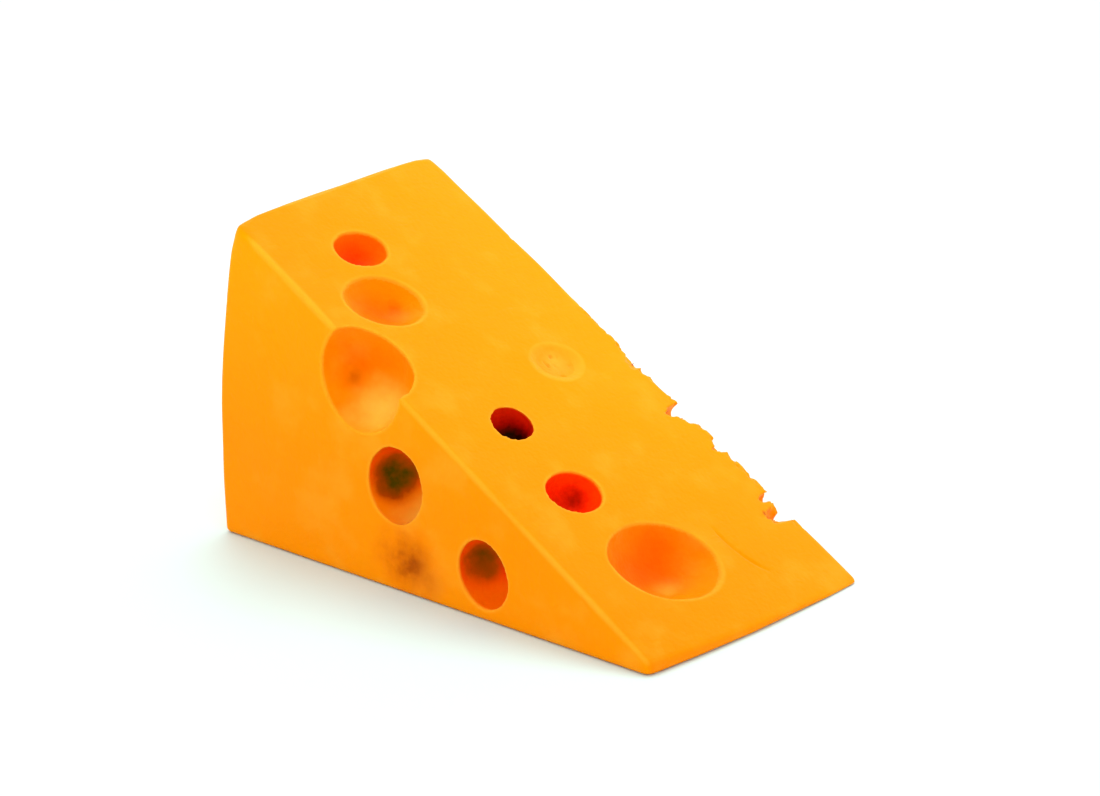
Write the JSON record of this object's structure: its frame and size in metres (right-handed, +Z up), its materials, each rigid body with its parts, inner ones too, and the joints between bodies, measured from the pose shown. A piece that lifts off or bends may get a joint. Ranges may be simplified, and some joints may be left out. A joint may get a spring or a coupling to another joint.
{
  "type": "cheese wedge",
  "caption": "Wedge of yellow large-eyed cheese lying on a cut face, with a curved rind end, a thin nose and a crumbled upper edge.",
  "frame": {"origin": "middle of the bounding box in plan, on the surface that the wedge rests on", "axes": "+Z up; +X from the curved rind end to the thin nose; -Y towards the near flat side"},
  "size_m": [0.1458, 0.076, 0.0815],
  "materials": {
    "cheese_paste": "firm, deep yellow-orange cheese paste: satin knife-cut faces with a little surface fat, glossier and redder inside the eyes, paler and drier on the edges"
  },
  "bodies": {
    "root": {"cheese_wedge": "cheese_paste"}
  },
  "joints": []
}
